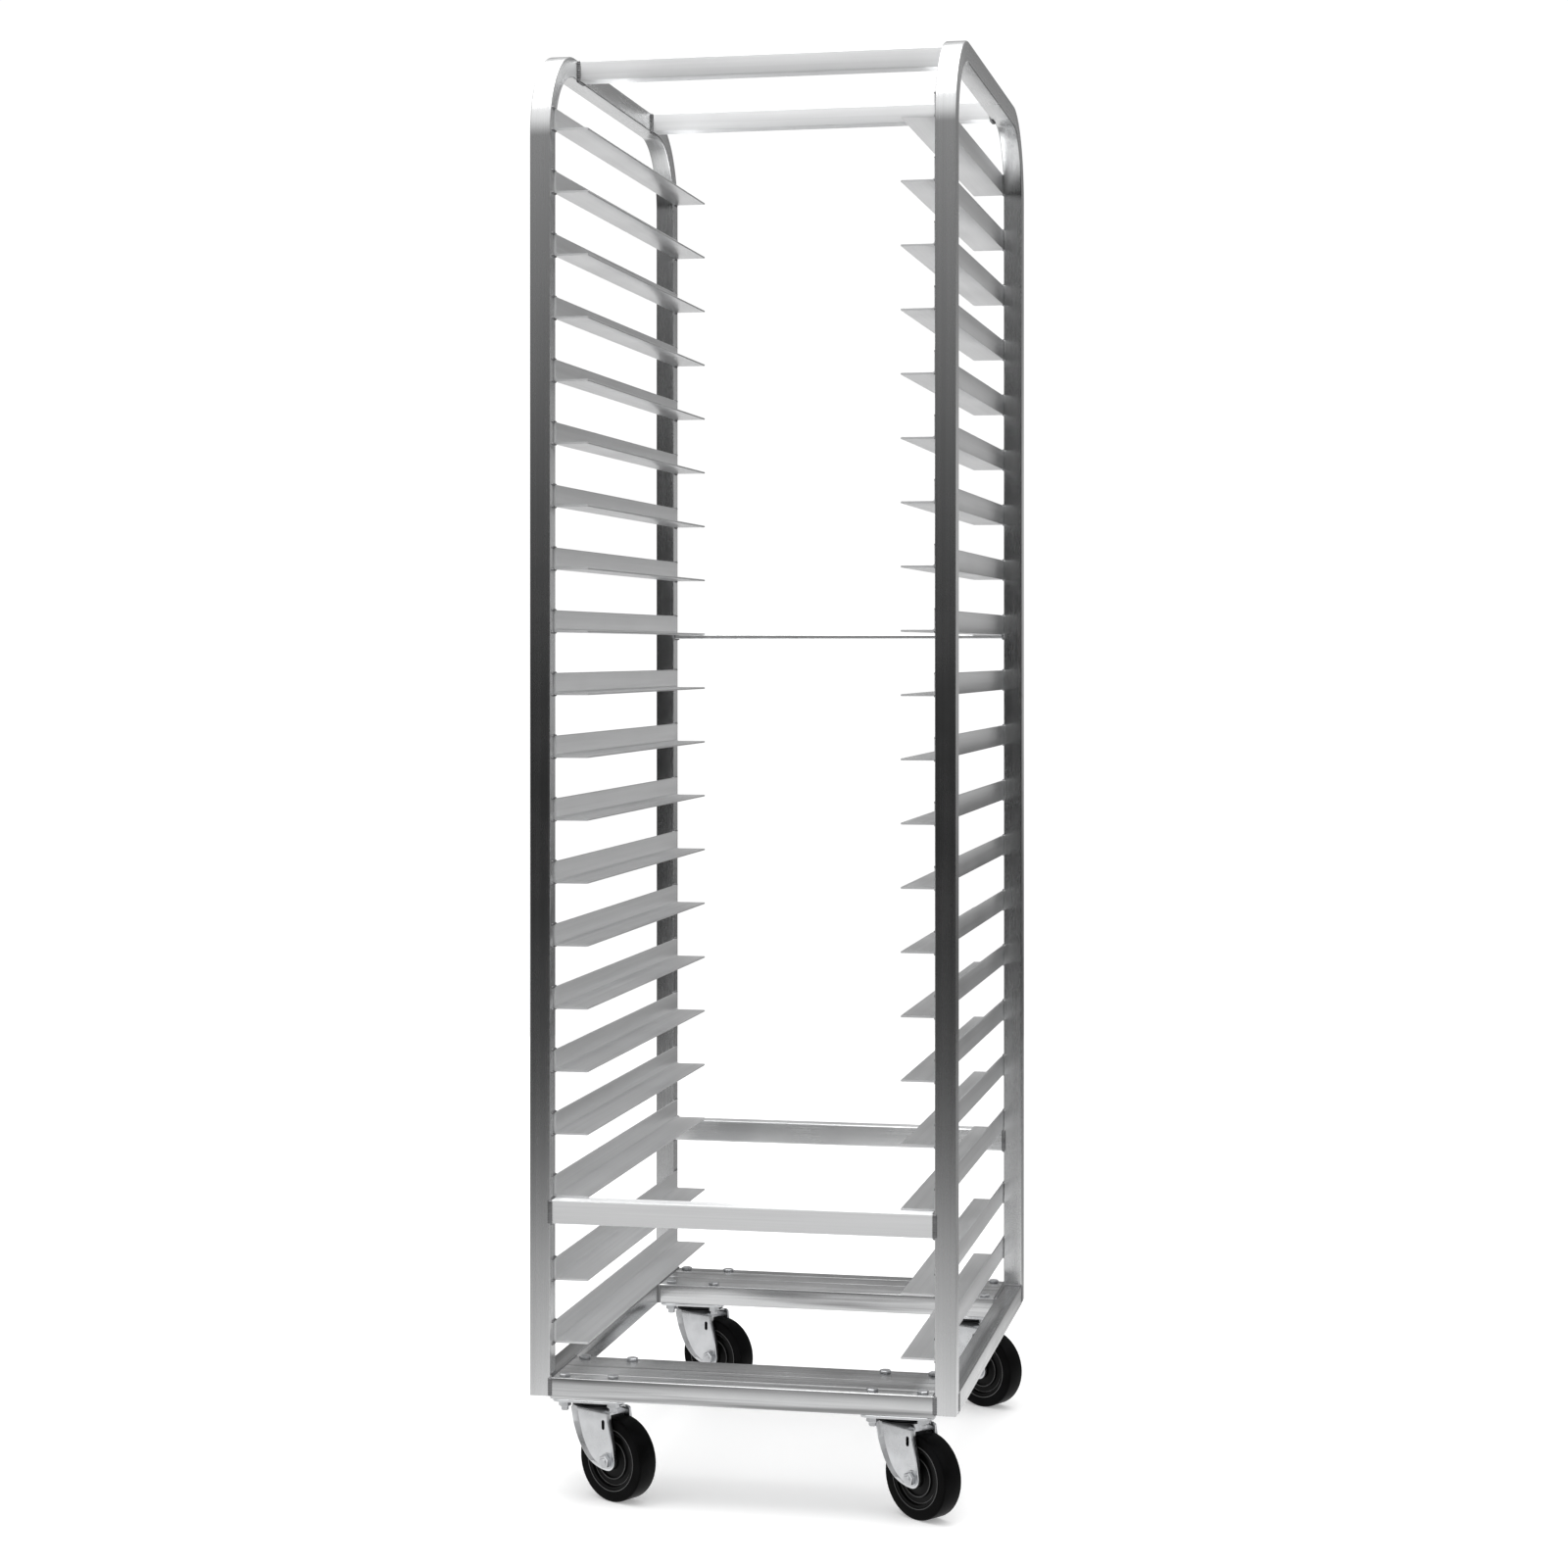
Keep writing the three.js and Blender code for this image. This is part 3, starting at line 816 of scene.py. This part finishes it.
def leg_front_curve(trail, axle_z, crown_top, steps=18):
    """The leg's front edge, from the crown down to the boss."""
    start = Vector((LEG_FRONT, crown_top))
    first, second = (Vector(handle) for handle in LEG_HANDLES)
    end = Vector((trail - LEG_TOE, axle_z - LEG_BOSS))
    curve = []
    for i in range(steps + 1):
        t = i / steps
        r = 1 - t
        curve.append(start * r ** 3 + first * 3 * t * r * r + second * 3 * t * t * r + end * t ** 3)
    return curve


def leg_rear_corners(trail, axle_z, crown_top):
    """The two corners of the leg's rear edge, from the boss up."""
    return [
        Vector((trail + LEG_WAIST[0], axle_z + LEG_WAIST[1])),
        Vector((LEG_REAR, crown_top - LEG_SHOULDER)),
    ]


def fork_side_outline(trail, axle_z, crown_top):
    """The fork seen from the side: a wide crown that narrows to a round boss at the axle."""
    boss = arc((trail, axle_z), LEG_BOSS, -90, 6, 12)
    front = leg_front_curve(trail, axle_z, crown_top)
    rear = leg_rear_corners(trail, axle_z, crown_top)
    crown = arc((LEG_REAR - LEG_CORNER, crown_top - LEG_CORNER), LEG_CORNER, 0, 90, 5)
    return [*(tuple(p) for p in front), *boss, *(tuple(p) for p in rear), *crown]


def leg_flange(mesh, edge, inward, side, width):
    """A pressed flange along an edge of a leg: it rises from the leg's face to the edge.

    inward gives the way into the leg at each point; width runs from its first to its last value."""
    face = side * (LEG_INSIDE + FORK_SHEET)
    sunk = face - side * FLANGE_SINK
    rows = []
    for index, (point, way) in enumerate(zip(edge, inward)):
        t = index / (len(edge) - 1)
        reach = width[0] + (width[1] - width[0]) * t
        inner = point + way * reach
        lip = point + way * min(FLANGE_LIP, reach / 3)
        rise = side * FLANGE_RISE * min(1, 4 * t, 4 * (1 - t))
        edge_face = face + rise * 0.6
        section = ((inner, sunk), (inner, face), (lip, face + rise), (point, edge_face), (point, sunk))
        rows.append([mesh.verts.new((p.x, y, p.y)) for p, y in section])
    loft(mesh, rows)


def leg_flanges(mesh, trail, axle_z, crown_top):
    """Flanges along the front and rear edges of both legs."""
    front = leg_front_curve(trail, axle_z, crown_top - LEG_CORNER)[:-2]
    rear = [
        Vector((trail + LEG_BOSS, axle_z)),
        *leg_rear_corners(trail, axle_z, crown_top),
        Vector((LEG_REAR, crown_top - FORK_BEND)),
    ]
    for edge, width in ((front, FRONT_FLANGE), (rear, REAR_FLANGE)):
        inward = []
        for index in range(len(edge)):
            before = edge[max(index - 1, 0)]
            after = edge[min(index + 1, len(edge) - 1)]
            run = (after - before).normalized()
            inward.append(Vector((-run.y, run.x)))
        for side in (-1, 1):
            leg_flange(mesh, edge, inward, side, width)


def fork_section(crown_top, foot):
    """The fork seen along the trail: two legs and the crown, bent from one sheet."""
    outer = LEG_INSIDE + FORK_SHEET
    centre = (outer - FORK_BEND, crown_top - FORK_BEND)
    outside = [(outer, foot), *arc(centre, FORK_BEND, 0, 90, 7)]
    inside = [(LEG_INSIDE, foot), *arc(centre, FORK_BEND - FORK_SHEET, 0, 90, 7)]
    outside_left = [(-a, b) for a, b in reversed(outside)]
    inside_left = [(-a, b) for a, b in inside]
    return [*outside, *outside_left, *inside_left, *reversed(inside)]


def solid_object(name, mesh):
    """A plain object for a boolean cut."""
    bmesh.ops.recalc_face_normals(mesh, faces=mesh.faces)
    data = bpy.data.meshes.new(name)
    mesh.to_mesh(data)
    mesh.free()
    tool = bpy.data.objects.new(name, data)
    bpy.context.scene.collection.objects.link(tool)
    return tool


def shaped(target, tools):
    """Applies boolean tools of (object, operation) to target and returns the result as a bmesh."""
    for tool, operation in tools:
        modifier = target.modifiers.new(tool.name, "BOOLEAN")
        modifier.object = tool
        modifier.operation = operation
        modifier.solver = "EXACT"
    graph = bpy.context.evaluated_depsgraph_get()
    mesh = bmesh.new()
    mesh.from_mesh(target.evaluated_get(graph).to_mesh())
    for done in [target, *(tool for tool, _ in tools)]:
        bpy.data.objects.remove(done)
    return mesh


def fork(place, turned, trail, axle_z, crown_top):
    """The stamped fork: the bent sheet cut to the side outline, with slots and an open rear crown."""
    node = f"caster_{place}_fork"
    across = Matrix.Rotation(math.pi / 2, 4, "X")
    along = Matrix.Rotation(math.pi / 2, 4, "Z") @ across
    sheet = bmesh.new()
    prism(sheet, fork_section(crown_top, axle_z - LEG_FOOT), -SHEET_REACH, SHEET_REACH, along)
    side = bmesh.new()
    side_outline = fork_side_outline(trail, axle_z, crown_top + CROWN_CLEARANCE)
    prism(side, side_outline, -CUTTER_REACH, CUTTER_REACH, across)
    slot = bmesh.new()
    slot_place = Matrix.Translation((SLOT_CENTRE[0], 0, crown_top - SLOT_CENTRE[1])) @ across
    prism(slot, rounded_rectangle(*SLOT_SIZE, SLOT_CORNER), -CUTTER_REACH, CUTTER_REACH, slot_place)
    notch = bmesh.new()
    notch_outline = rounded_rectangle(*NOTCH_SIZE, NOTCH_CORNER)
    notch_place = Matrix.Translation((NOTCH_CENTRE, 0, 0))
    prism(notch, notch_outline, crown_top - NOTCH_DEPTH, crown_top + CUT_CLEARANCE, notch_place)
    cuts = [
        (solid_object("fork_side", side), "INTERSECT"),
        (solid_object("fork_slot", slot), "DIFFERENCE"),
        (solid_object("fork_notch", notch), "DIFFERENCE"),
    ]
    mesh = shaped(solid_object("fork_sheet", sheet), cuts)
    leg_flanges(mesh, trail, axle_z, crown_top)
    bmesh.ops.transform(mesh, matrix=turned, verts=mesh.verts)
    piece = piece_from(f"{node}_sheet", mesh, f"caster_{place}_swivel", ZINC, [node])
    rounding = piece.modifiers.new("rounded_edges", "BEVEL")
    rounding.width = FORK_ROUNDING
    rounding.segments = 2
    rounding.limit_method = "ANGLE"
    rounding.angle_limit = math.radians(50)
    rounding.harden_normals = True


def lower_race(place, turned, crown_top):
    """The race on the fork's crown."""
    mesh = bmesh.new()
    race(mesh, *LOWER_RACE, crown_top, LOWER_RACE_PROFILE, turned)
    piece_from(f"caster_{place}_lower_race", mesh, f"caster_{place}_swivel", SHADED_RACE_STEEL)


def axle(place, spin):
    """The axle bolt, its head and nut, and a washer on each side."""
    face = LEG_INSIDE + FORK_SHEET
    seat = face + WASHER_THICKNESS
    mesh = bmesh.new()
    pin(mesh, AXLE, face + AXLE_REACH, -face, spin)
    for side in (-1, 1):
        inner, outer = sorted((side * face, side * seat))
        bore = AXLE[0]
        washer = [(bore, inner), (WASHER_RADIUS, inner), (WASHER_RADIUS, outer), (bore, outer)]
        closed_lathe(mesh, washer, spin, 32)
    head_radius, head_height = AXLE_HEAD
    nut_radius, nut_height = AXLE_NUT
    hexagon(mesh, head_radius, -seat - head_height, -seat, spin, 0, AXLE_CHAMFER)
    hexagon(mesh, nut_radius, seat, seat + nut_height, spin, 0.3, AXLE_CHAMFER)
    piece_from(f"caster_{place}_axle_bolt", mesh, f"caster_{place}_swivel", BOLT_METAL)


def below(face, profile):
    """A profile in mm of (radius, depth below the face) as (radius, height)."""
    return [(radius * MM, face - depth * MM) for radius, depth in profile]


def both_sides(profile):
    """A profile and its mirror image across the wheel's middle."""
    return [*profile, *((r, -z) for r, z in reversed(profile))]


def wheel(place, spin, radius):
    """Tread, hub with painted-highlight rings on its ridges, and bearing, all turned about the axle."""
    node = f"caster_{place}_wheel"
    side_face = WHEEL_WIDTH / 2
    hub_face = HUB_WIDTH / 2
    shoulder_centre = (radius - TREAD_SHOULDER, side_face - TREAD_SHOULDER)
    shoulder = arc(shoulder_centre, TREAD_SHOULDER, 90, 8, 5)
    tread = both_sides([*below(side_face, TREAD_EDGE), *shoulder])
    tread.insert(len(tread) // 2, (radius, 0))
    hub = both_sides([*below(hub_face, HUB_END), *below(side_face, HUB_SIDE)])
    bearing = both_sides(below(hub_face, BEARING))
    mesh = bmesh.new()
    closed_lathe(mesh, tread, spin, 72)
    piece_from(f"{node}_tread", mesh, node, RUBBER, [node])
    mesh = bmesh.new()
    closed_lathe(mesh, hub, spin, 72)
    piece_from(f"{node}_hub", mesh, node, HUB_PLASTIC)
    # Painted highlight: thin light rings on the hub's ridges.
    mesh = bmesh.new()
    for side in (-1, 1):
        for middle, height in below(side_face, HIGHLIGHT_RINGS):
            closed_lathe(mesh, arc((middle, side * height), HIGHLIGHT_RING_RADIUS, 0, 315, 7), spin, 72)
    piece_from(f"{node}_rings", mesh, node, HIGHLIGHT_RING_PLASTIC)
    mesh = bmesh.new()
    closed_lathe(mesh, bearing, spin, 40)
    piece_from(f"{node}_bearing", mesh, node, BOLT_METAL)


def caster(place):
    """One whole caster. Its wheel's body has the same name as its wheel's node."""
    fixed, turned, spin, trail, axle_z = caster_matrices(place)
    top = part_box(f"caster_{place}_plate")[1].z
    race_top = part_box(f"caster_{place}_fork")[1].z
    crown_top = race_top - LOWER_RACE_HEIGHT
    wheel_low, wheel_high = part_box(f"caster_{place}_wheel")
    mount_plate(place, fixed, top)
    kingpin(place, fixed, crown_top - FORK_SHEET)
    plate_bolts(place, fixed, BASE_HIGH.z, top - PLATE_THICKNESS)
    fork(place, turned, trail, axle_z, crown_top)
    lower_race(place, turned, crown_top)
    axle(place, spin)
    wheel(place, spin, (wheel_high.z - wheel_low.z) / 2)


# ---------- The rack ----------

side_frame("left", -INNER_FACE - TUBE / 2)
side_frame("right", INNER_FACE + TUBE / 2)
for rail_node in ("top_front_rail", "top_rear_rail", "lower_front_rail"):
    cross_member(rail_node, TUBE_CORNER, RAIL_METAL, TUBE_WALL)
cross_member("lower_rear_rail", TUBE_CORNER, FRAME_METAL, TUBE_WALL)
cross_member("mid_rear_brace", BRACE_CORNER, SLIDE_METAL)
for slide_side in ("left", "right"):
    for slide_level in LEVELS:
        slide(slide_side, slide_level)
caster_channel("front", -1)
caster_channel("rear", 1)
base_rail("left", -INNER_FACE - TUBE / 2)
base_rail("right", INNER_FACE + TUBE / 2)

for weld_name, nodes in (
    ("top_rail_welds", ("top_front_rail", "top_rear_rail")),
    ("lower_rail_welds", ("lower_front_rail", "lower_rear_rail", "mid_rear_brace")),
):
    beads = bmesh.new()
    for rail_node in nodes:
        rail_welds(beads, rail_node)
    piece_from(weld_name, beads, "root", WELD_METAL, smooth=BEAD_SMOOTHING)
for slide_side in ("left", "right"):
    beads = bmesh.new()
    slide_welds(beads, slide_side)
    weld_name = f"{slide_side}_slide_welds"
    piece_from(weld_name, beads, "root", WELD_METAL, smooth=BEAD_SMOOTHING)
beads = bmesh.new()
base_welds(beads)
piece_from("base_corner_welds", beads, "root", WELD_METAL, smooth=BEAD_SMOOTHING)

for caster_place in PLACES:
    caster(caster_place)


# ---------- Stage, light and camera ----------

EYE = (0.767, -3.829, 1.0326)
EYE_TURN = 11.52
LENS = 68.9
SENSOR = 36
FRAMING_SHIFT = -0.0846
SOFTBOX_PLACE = (0, -0.2, 3.6)
SOFTBOX_AIM = (0, 0, 0.6)
SOFTBOX_SIZE = 3.4
SOFTBOX_POWER = 75
SEEN_WHITE = 1.05

# Grey levels that reflections see: on the floor by distance, in the sky by height from -1 to 1.
# The front's fade into the back's between these values of Y, and the left's into the right's of X.
FRONT_TO_BACK = (-0.35, 0.55)
LEFT_TO_RIGHT = (-0.1, 0.08)
FLOOR_RADIUS = 4.2
FLOOR_IN_FRONT = ((0.5, 1.0), (0.85, 0.85), (1.15, 0.62), (1.8, 0.46), (2.6, 0.22), (4.0, 0.07))
FLOOR_BEHIND = ((0.6, 0.9), (1.2, 0.35), (4.0, 0.22))
SKY_IN_FRONT = (
    (-0.1, 0.07), (-0.07, 0.012), (0.0, 0.022), (0.06, 0.065), (0.13, 0.18), (0.2, 0.29), (0.32, 0.6),
    (0.5, 1.0), (0.77, 1.2),
)
SKY_BEHIND_LEFT = (
    (-0.1, 0.78), (-0.04, 0.72), (0.0, 0.2), (0.1, 0.22), (0.25, 0.28), (0.45, 0.5), (0.75, 1.1),
)
SKY_BEHIND_RIGHT = (
    (-0.2, 0.06), (-0.08, 0.11), (-0.02, 0.44), (0.05, 0.54), (0.12, 0.24), (0.25, 0.26), (0.45, 0.5),
    (0.75, 1.1),
)


def by_ray(tree, seen, lit, output):
    """Joins two shaders: one for the camera's own rays, one for light and reflections."""
    ray = tree.nodes.new("ShaderNodeLightPath")
    mix = tree.nodes.new("ShaderNodeMixShader")
    tree.links.new(ray.outputs["Is Camera Ray"], mix.inputs[0])
    tree.links.new(lit, mix.inputs[1])
    tree.links.new(seen, mix.inputs[2])
    tree.links.new(mix.outputs[0], output.inputs[0])


def level_ramp(tree, value, low, high, stops):
    """A grey level for a value from low to high, by stops of (value, level)."""
    fitted = tree.nodes.new("ShaderNodeMapRange")
    fitted.inputs["From Min"].default_value = low
    fitted.inputs["From Max"].default_value = high
    tree.links.new(value, fitted.inputs["Value"])
    ramp = tree.nodes.new("ShaderNodeValToRGB")
    elements = ramp.color_ramp.elements
    while len(elements) < len(stops):
        elements.new(0.5)
    for element, (stop, level) in zip(elements, stops):
        element.position = (stop - low) / (high - low)
        element.color = (level, level, level, 1)
    tree.links.new(fitted.outputs[0], ramp.inputs[0])
    return ramp.outputs[0]


def crossfade(tree, value, stops, first, second):
    """Goes from the first level to the second as value passes from one stop to the other."""
    turn = level_ramp(tree, value, -1, 1, ((stops[0], 0), (stops[1], 1)))
    mix = tree.nodes.new("ShaderNodeMix")
    mix.data_type = "RGBA"
    tree.links.new(turn, mix.inputs[0])
    tree.links.new(first, mix.inputs[6])
    tree.links.new(second, mix.inputs[7])
    return mix.outputs[2]


def floor():
    """A pale round floor. In reflections it is bright near the rack and fades in front of it."""
    mesh = bmesh.new()
    bmesh.ops.create_circle(mesh, cap_ends=True, segments=96, radius=FLOOR_RADIUS)
    data = bpy.data.meshes.new("studio_floor")
    mesh.to_mesh(data)
    mesh.free()
    n = Nodes("studio_floor")
    n.fix(Base_Color=(0.86, 0.86, 0.86, 1), Roughness=0.8, Specular_IOR_Level=0.1)
    n.fix(Emission_Color=(1, 1, 1, 1), Emission_Strength=0.3)
    place = n.add("ShaderNodeTexCoord").outputs["Object"]
    distance = n.add("ShaderNodeVectorMath", {0: place}, operation="LENGTH").outputs["Value"]
    across = n.add("ShaderNodeSeparateXYZ", {0: place}).outputs["Y"]
    front = level_ramp(n.tree, distance, 0, FLOOR_RADIUS, FLOOR_IN_FRONT)
    back = level_ramp(n.tree, distance, 0, FLOOR_RADIUS, FLOOR_BEHIND)
    glow = n.add("ShaderNodeEmission")
    n.tree.links.new(crossfade(n.tree, across, FRONT_TO_BACK, front, back), glow.inputs[0])
    by_ray(n.tree, n.shader.outputs[0], glow.outputs[0], n.tree.nodes["Material Output"])
    data.materials.append(n.material)
    ground = bpy.data.objects.new("studio_floor", data)
    bpy.context.scene.collection.objects.link(ground)


def world():
    """A white studio for the camera. Reflections see a bright ceiling above darker walls."""
    surroundings = bpy.data.worlds.new("studio")
    bpy.context.scene.world = surroundings
    surroundings.use_nodes = True
    tree = surroundings.node_tree
    tree.nodes.clear()
    output = tree.nodes.new("ShaderNodeOutputWorld")
    direction = tree.nodes.new("ShaderNodeTexCoord").outputs["Generated"]
    split = tree.nodes.new("ShaderNodeSeparateXYZ")
    tree.links.new(direction, split.inputs[0])
    front = level_ramp(tree, split.outputs["Z"], -1, 1, SKY_IN_FRONT)
    back_left = level_ramp(tree, split.outputs["Z"], -1, 1, SKY_BEHIND_LEFT)
    back_right = level_ramp(tree, split.outputs["Z"], -1, 1, SKY_BEHIND_RIGHT)
    back = crossfade(tree, split.outputs["X"], LEFT_TO_RIGHT, back_left, back_right)
    lit = tree.nodes.new("ShaderNodeBackground")
    tree.links.new(crossfade(tree, split.outputs["Y"], FRONT_TO_BACK, front, back), lit.inputs[0])
    seen = tree.nodes.new("ShaderNodeBackground")
    seen.inputs[0].default_value = (1, 1, 1, 1)
    seen.inputs[1].default_value = SEEN_WHITE
    by_ray(tree, seen.outputs[0], lit.outputs[0], output)


def softbox():
    """A large soft light above the rack."""
    light = bpy.data.lights.new("overhead", "AREA")
    light.shape = "SQUARE"
    light.size = SOFTBOX_SIZE
    light.energy = SOFTBOX_POWER
    lamp = bpy.data.objects.new("overhead", light)
    lamp.location = SOFTBOX_PLACE
    aim = Vector(SOFTBOX_AIM) - Vector(SOFTBOX_PLACE)
    lamp.rotation_euler = aim.to_track_quat("-Z", "Y").to_euler()
    bpy.context.scene.collection.objects.link(lamp)


def camera():
    """A level view from the front, a little to the right, at about three fifths of the height."""
    view = bpy.data.cameras.new("camera")
    view.sensor_width = SENSOR
    view.lens = LENS
    view.shift_y = FRAMING_SHIFT
    eye = bpy.data.objects.new("camera", view)
    eye.location = EYE
    eye.rotation_euler = (math.radians(90), 0, math.radians(EYE_TURN))
    bpy.context.scene.collection.objects.link(eye)
    bpy.context.scene.camera = eye


floor()
world()
softbox()
camera()
bpy.context.scene.view_settings.view_transform = "Standard"
